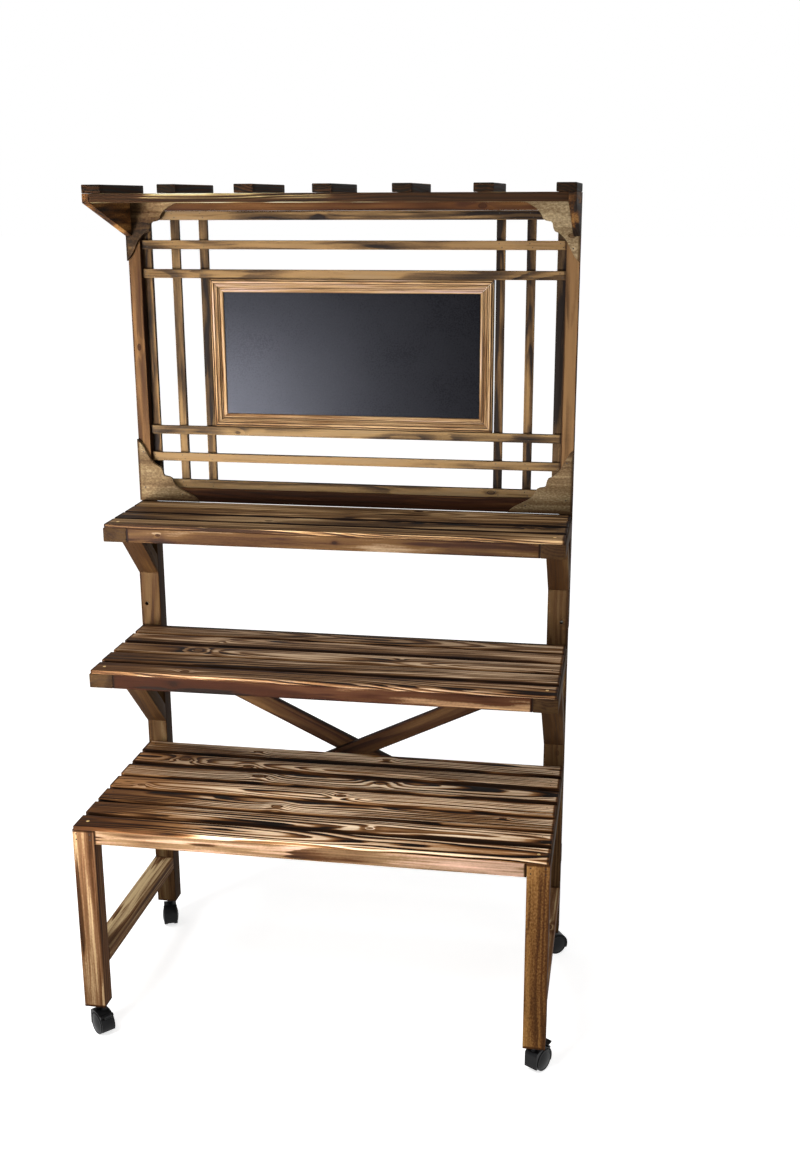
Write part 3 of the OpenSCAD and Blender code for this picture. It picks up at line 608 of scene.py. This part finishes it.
WOOD_MATERIALS = {name: wood_material(name, *look) for name, look in WOODS.items()}
PLASTIC = speckled_material("black_nylon", tone(7, 7, 8), 0.42,
                            grain=1400, depth=0.00006, specular=0.16)
BLACK_STEEL = speckled_material("black_steel", tone(26, 26, 28), 0.38, 0.6)
STEEL = speckled_material("zinc_steel", tone(176, 172, 162), 0.34, 1.0, depth=0.00004)
BRASS = speckled_material("yellow_zinc", tone(190, 160, 104), 0.36, 1.0, depth=0.00004)
IRON = speckled_material("dark_nail", tone(22, 16, 12), 0.65, 0.4)
BLACKBOARD = speckled_material("blackboard", tone(1, 1, 2), 0.29,
                               grain=300, depth=0.00006, specular=0.045, sparkle=0.09)
board_shader = BLACKBOARD.node_tree.nodes["Principled BSDF"]
board_shader.inputs["Specular Tint"].default_value = (0.82, 0.84, 1, 1)
SLOT_MATERIALS = {"black_plastic": PLASTIC, "black_steel": BLACK_STEEL, "steel": STEEL,
                  "blackboard": BLACKBOARD}


def loose_parts(node):
    """The separate solids of a CAD node, each as its own bmesh, in order of place."""
    whole = bmesh.new()
    whole.from_mesh(frame["nodes"][node].data)
    bmesh.ops.remove_doubles(whole, verts=whole.verts, dist=WELD)
    left = set(whole.verts)
    groups = []
    while left:
        reached = {left.pop()}
        front = list(reached)
        while front:
            near = {e.other_vert(v) for v in front for e in v.link_edges} - reached
            reached |= near
            front = list(near)
        left -= reached
        groups.append(reached)
    parts = []
    for group in groups:
        part = bmesh.new()
        twin = {v: part.verts.new(v.co) for v in sorted(group, key=lambda v: v.index)}
        for face in whole.faces:
            if face.verts[0] in group:
                part.faces.new([twin[v] for v in face.verts])
        parts.append(part)
    whole.free()

    def middle(part):
        return tuple(round(sum(v.co[i] for v in part.verts) / len(part.verts), 3)
                     for i in (1, 0, 2))
    return sorted(parts, key=middle)


def grain_axes(points, node):
    """Directions along, across and through a board, from its corners."""
    fixed = next((order for word, order in GRAIN_AXES.items() if word in node), None)
    if fixed:
        return np.eye(3)[list(fixed)]
    centred = points - (points.min(0) + points.max(0)) / 2
    main = np.linalg.svd(centred, full_matrices=False)[2][0]
    main *= np.sign(main[np.abs(main).argmax()])
    size = np.ptp(points, axis=0)
    level = np.abs(main)
    if level.max() > STRAIGHT:
        order = sorted(range(3), key=lambda i: (-level[i].round(2), -size[i].round(4)))
        return np.eye(3)[order]
    thin = np.eye(3)[level.argmin()]
    return np.array([main, np.cross(thin, main), thin])


def store(mesh, name, values):
    """Keeps one vector for each vertex; a single vector goes to them all."""
    layer = mesh.attributes.new(name, "FLOAT_VECTOR", "POINT")
    each = np.broadcast_to(np.asarray(values, np.float32), (len(mesh.vertices), 3))
    layer.data.foreach_set("vector", each.ravel())


def shape_board(part, node, axes, rng):
    """Softens and wears a board's edges, and trims or lowers the boards that need it."""
    slat = "shelf_slats" in node
    softness, wear = (sizes[not slat] for sizes in (EDGE_SOFTNESS, WEAR_DEPTH))
    bmesh.ops.dissolve_limit(part, angle_limit=FLAT_ANGLE, verts=part.verts, edges=part.edges)
    sharp = [e for e in part.edges if e.is_manifold and e.calc_face_angle() > SHARP_ANGLE]
    bmesh.ops.bevel(part, geom=sharp, offset=softness, segments=EDGE_STEPS, profile=0.5,
                    affect="EDGES", clamp_overlap=True)
    main = Vector(axes[0])
    reach = [v.co.dot(main) for v in part.verts]
    start, length = min(reach), max(reach) - min(reach)
    loops = int(length / LOOP_SPACING)
    for i in range(1, loops):
        bmesh.ops.bisect_plane(part, geom=part.verts[:] + part.edges[:] + part.faces[:],
                               plane_co=main * (start + length * i / loops), plane_no=main)
    bmesh.ops.recalc_face_normals(part, faces=part.faces)
    part.normal_update()
    offset = Vector((rng.uniform(0, 50), rng.uniform(0, 50), rng.uniform(0, 50)))
    for v in part.verts:
        worn = 0.5 + 0.5 * noise.noise(v.co * WEAR_SCALE + offset)
        v.co -= v.normal * wear * worn
    if node == "panel_bottom_rail":
        foot = min(v.co.z for v in part.verts)
        for v in part.verts:
            if v.co.z < foot + RAIL_FOOT:
                v.co.z -= RAIL_DROP
    if slat:
        trims = [rng.uniform(0, SLAT_END_SPREAD) for _ in range(2)]
        for v in part.verts:
            place = v.co.dot(main) - (start + length / 2)
            if abs(place) > length / 2 - SLAT_END_ZONE:
                v.co -= main * math.copysign(trims[place > 0], place)


def describe_wood(mesh, name, node, axes, rng):
    """Stores what a board's wood reads: grain, heart, tint, knots, and char with painted shade at
    the sides.
    """
    slat = "shelf_slats" in node
    points = np.array([v.co for v in mesh.vertices]) @ axes.T
    low, high = points.min(0), points.max(0)
    half = (high - low) / 2
    store(mesh, "grain", points - (low + high) / 2)
    store(mesh, "half", half)
    side = rng.choice((-1, 1))
    deep = side * rng.uniform(*HEART_DEPTH[not slat])
    store(mesh, "heart", (rng.uniform(-HEART_ACROSS, HEART_ACROSS), deep, rng.uniform(0, 1)))
    lean_v, lean_w = HEART_LEAN[not slat]
    store(mesh, "lean", (rng.uniform(-1, 1) * lean_v,
                         rng.choice((-1, 1)) * rng.uniform(LEAST_LEAN, 1) * lean_w, 0))
    base = next((tint for word, tint in TINTS.items() if word in name), (0, 0, 0))
    store(mesh, "tint", [b + rng.uniform(-s, s) for b, s in zip(base, TINT_SPREAD)])
    knots = KNOTS.get(name)
    if knots is None:
        far_u, far_v = KNOT_REACH
        knots = [(rng.uniform(-far_u, far_u), rng.uniform(-far_v, far_v),
                  rng.uniform(*KNOT_RADIUS) if rng.random() < KNOT_CHANCE else 0)
                 for _ in range(2)]
    for layer, (u, v, r) in zip(("knot_a", "knot_b"), knots):
        store(mesh, layer, (u * half[0], v * half[1], min(r, half[1] / 2)))
    low_side, high_side = (rng.uniform(*SIDE_CHAR_AND_SHADE) for _ in range(2))
    low_start, high_start, left_burn = CHAR_START, CHAR_START, 0
    # Shelf slats: both sides dark with char and painted shade in the gaps; little on the front
    # slat's lit front face
    if slat:
        low_side = FRONT_SLAT_CHAR_AND_SHADE if name.endswith("_0") else SLAT_CHAR_AND_SHADE
        high_side = SLAT_CHAR_AND_SHADE
        low_start, high_start = (rng.uniform(*SLAT_CHAR_AND_SHADE_START) for _ in range(2))
        left_burn = LEFT_BURNS.get(name, rng.uniform(0, MOST_LEFT_CHAR))
    elif wood_of(node) in PALE_SIDES:
        low_side, high_side = low_side * PALE_SIDE_SHARE, high_side * PALE_SIDE_SHARE
    end = APRON_END_CHAR if "apron" in node else rng.uniform(*END_CHAR)
    store(mesh, "burn", (low_side, high_side, end))
    store(mesh, "scorch", (low_start, high_start, left_burn))


def make_board(part, name, node, body):
    """One board of a CAD node, with worn edges and its own piece of wood."""
    rng = random.Random(name)
    axes = grain_axes(np.array([v.co for v in part.verts]), node)
    shape_board(part, node, axes, rng)
    mesh = bpy.data.meshes.new(name)
    part.to_mesh(mesh)
    part.free()
    mesh.polygons.foreach_set("use_smooth", [True] * len(mesh.polygons))
    mesh.set_sharp_from_angle(angle=SHARP_ANGLE)
    describe_wood(mesh, name, node, axes, rng)
    mesh.materials.append(WOOD_MATERIALS[wood_of(node)])
    board = bpy.data.objects.new(name, mesh)
    bpy.context.scene.collection.objects.link(board)
    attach(board, body)
    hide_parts(node)


for node in sorted(SLOT_OF):
    if SLOT_OF[node] in SLOT_MATERIALS:
        cad = frame["nodes"][node]
        cad.data.materials.clear()
        cad.data.materials.append(SLOT_MATERIALS[SLOT_OF[node]])
        continue
    for number, part in enumerate(loose_parts(node)):
        make_board(part, f"{node}_{number}", node, BODY_OF[node])


def make_heads(name, places, normal, radius, material, cross):
    """Screw or nail heads: low domes sunk in the wood; a screw's has a cross recess."""
    made = bmesh.new()
    turn = Vector((0, 0, 1)).rotation_difference(Vector(normal)).to_matrix()
    rng = random.Random(name)
    for place in places:
        spin = Matrix.Rotation(rng.uniform(0, math.pi), 3, "Z")
        rings = []
        for share, height in HEAD_RINGS:
            ring = []
            for i in range(HEAD_STEPS):
                angle = i * math.tau / HEAD_STEPS
                r = radius * share
                if cross and (share, height) == HEAD_RINGS[-1]:
                    arm = abs(math.cos(2 * angle)) ** CROSS_SHARPNESS
                    r = radius * (CROSS_HUB + CROSS_ARM * arm)
                local = spin @ Vector((r * math.cos(angle), r * math.sin(angle), radius * height))
                local.z -= HEAD_SINK
                ring.append(made.verts.new(Vector(place) + turn @ local))
            rings.append(ring)
        centre_z = radius * (-CENTRE_HEIGHT if cross else CENTRE_HEIGHT) - HEAD_SINK
        centre = made.verts.new(Vector(place) + turn @ Vector((0, 0, centre_z)))
        for low, high in zip(rings, rings[1:]):
            for i in range(HEAD_STEPS):
                j = (i + 1) % HEAD_STEPS
                made.faces.new([low[i], low[j], high[j], high[i]])
        for i in range(HEAD_STEPS):
            made.faces.new([rings[-1][i], rings[-1][(i + 1) % HEAD_STEPS], centre])
        made.faces.new(list(reversed(rings[0])))
    mesh = bpy.data.meshes.new(name)
    made.to_mesh(mesh)
    made.free()
    mesh.materials.append(material)
    head = bpy.data.objects.new(name, mesh)
    bpy.context.scene.collection.objects.link(head)
    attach(head, "rack")


def pieces_of(node):
    return [o for o in bpy.data.objects if o.name.startswith(node + "_")]


def centre_of(piece, axis):
    reach = [v.co[axis] for v in piece.data.vertices]
    return (min(reach) + max(reach)) / 2


# Screws through the ends of each shelf's front slat, and nails through the others
for shelf in ("top", "middle", "bottom"):
    low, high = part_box(shelf + "_shelf_slats")
    nails = []
    for slat in pieces_of(shelf + "_shelf_slats"):
        ys = [v.co.y for v in slat.data.vertices]
        if min(ys) - low.y < FRONT_REACH:
            make_heads(shelf + "_front_screws",
                       [(x, centre_of(slat, 1), high.z)
                        for x in (low.x + SCREW_IN, high.x - SCREW_IN)],
                       (0, 0, 1), SCREW_R, BRASS, True)
            continue
        for x in (low.x + NAIL_IN, high.x - NAIL_IN):
            nails += [(x, min(ys) + (max(ys) - min(ys)) * share, high.z)
                      for share in SLAT_NAIL_SHARES]
    make_heads(shelf + "_slat_nails", nails, (0, 0, 1), NAIL_R, IRON, False)

# Nails at the tops of the front legs, at the trellis crossings and in the brackets
leg_nails = []
for leg in ("left_front_leg", "right_front_leg"):
    low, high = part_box(leg)
    for x in (low.x + LEG_NAIL_IN, high.x - LEG_NAIL_IN):
        leg_nails += [(x, low.y, high.z - drop) for drop in LEG_NAIL_DROPS]
make_heads("leg_nails", leg_nails, (0, -1, 0), NAIL_R, IRON, False)

trellis_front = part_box("trellis_level_slats")[0].y
crossing_nails = [(centre_of(upright, 0) + right, trellis_front, centre_of(level, 2) + up)
                  for level in pieces_of("trellis_level_slats")
                  for upright in pieces_of("trellis_upright_slats")
                  for right, up in CROSSING_NAILS]
make_heads("crossing_nails", crossing_nails, (0, -1, 0), CROSSING_NAIL_R, IRON, False)

bracket_nails = []
for name, up in (("upper_left", -1), ("upper_right", -1), ("lower_left", 1), ("lower_right", 1)):
    low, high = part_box(name + "_bracket")
    outer = low.x if "left" in name else high.x
    inward = 1 if "left" in name else -1
    foot = low.z if up > 0 else high.z
    for along, rise in BRACKET_NAILS:
        bracket_nails.append((outer + inward * along, low.y, foot + up * rise))
make_heads("bracket_nails", bracket_nails, (0, -1, 0), NAIL_R, IRON, False)

# Floor: a pale sheet that keeps a faint shadow and shows white to the camera and in gloss
CORNERS = ((-1, -1), (1, -1), (1, 1), (-1, 1))
floor_mesh = bpy.data.meshes.new("floor")
floor_mesh.from_pydata([(x * FLOOR_HALF, y * FLOOR_HALF, 0) for x, y in CORNERS],
                       [], [(0, 1, 2, 3)])
floor = bpy.data.objects.new("floor", floor_mesh)
bpy.context.scene.collection.objects.link(floor)


def seen_as_white(tree):
    """1 for a ray from the camera, a mirror or a glass, and otherwise 0."""
    path = tree.nodes.new("ShaderNodeLightPath")
    total = path.outputs["Is Camera Ray"]
    for name in ("Is Glossy Ray", "Is Transmission Ray"):
        either = tree.nodes.new("ShaderNodeMath")
        either.operation = "MAXIMUM"
        tree.links.new(total, either.inputs[0])
        tree.links.new(path.outputs[name], either.inputs[1])
        total = either.outputs[0]
    return total


paint = bpy.data.materials.new("pale_floor")
paint.use_nodes = True
tree = paint.node_tree
shader = tree.nodes["Principled BSDF"]
shader.inputs["Base Color"].default_value = (0.8, 0.8, 0.8, 1)
shader.inputs["Roughness"].default_value = 0.9
shader.inputs["Specular IOR Level"].default_value = 0
shader.inputs["Emission Color"].default_value = (1, 1, 1, 1)
lift = tree.nodes.new("ShaderNodeMath")
lift.operation = "MULTIPLY"
lift.inputs[1].default_value = FLOOR_LIFT
tree.links.new(seen_as_white(tree), lift.inputs[0])
tree.links.new(lift.outputs[0], shader.inputs["Emission Strength"])
floor_mesh.materials.append(paint)

# World: white to the camera and in gloss, a plain soft light otherwise
world = bpy.data.worlds.new("studio")
bpy.context.scene.world = world
world.use_nodes = True
tree = world.node_tree
strength = tree.nodes.new("ShaderNodeMapRange")
strength.inputs["To Min"].default_value = AMBIENT
strength.inputs["To Max"].default_value = 1.0
tree.links.new(seen_as_white(tree), strength.inputs["Value"])
tree.nodes["Background"].inputs["Color"].default_value = (1, 1, 1, 1)
tree.links.new(strength.outputs[0], tree.nodes["Background"].inputs["Strength"])


def softbox(name, place, size, watts, target):
    data = bpy.data.lights.new(name, "AREA")
    data.shape = "SQUARE"
    data.size = size
    data.energy = watts
    lamp = bpy.data.objects.new(name, data)
    lamp.location = place
    lamp.rotation_euler = (Vector(target) - Vector(place)).to_track_quat("-Z", "Y").to_euler()
    bpy.context.scene.collection.objects.link(lamp)
    return data


rack_middle = (cad_low + cad_high) / 2
softbox("key", *KEY_LIGHT, rack_middle)
softbox("fill", *FILL_LIGHT, rack_middle)
softbox("board_light", *BOARD_LIGHT, BOARD_LIGHT_AIM).spread = BOARD_LIGHT_SPREAD

camera_data = bpy.data.cameras.new("camera")
camera_data.sensor_width = SENSOR_MM
camera_data.lens = CAMERA_LENS_MM
camera = bpy.data.objects.new("camera", camera_data)
camera.matrix_world = (Matrix.Translation(CAMERA_PLACE) @ Matrix.Rotation(CAMERA_YAW, 4, "Z")
                       @ Matrix.Rotation(math.pi / 2 + CAMERA_PITCH, 4, "X")
                       @ Matrix.Rotation(CAMERA_ROLL, 4, "Z"))
bpy.context.scene.collection.objects.link(camera)
bpy.context.scene.camera = camera
bpy.context.scene.view_settings.view_transform = "Standard"
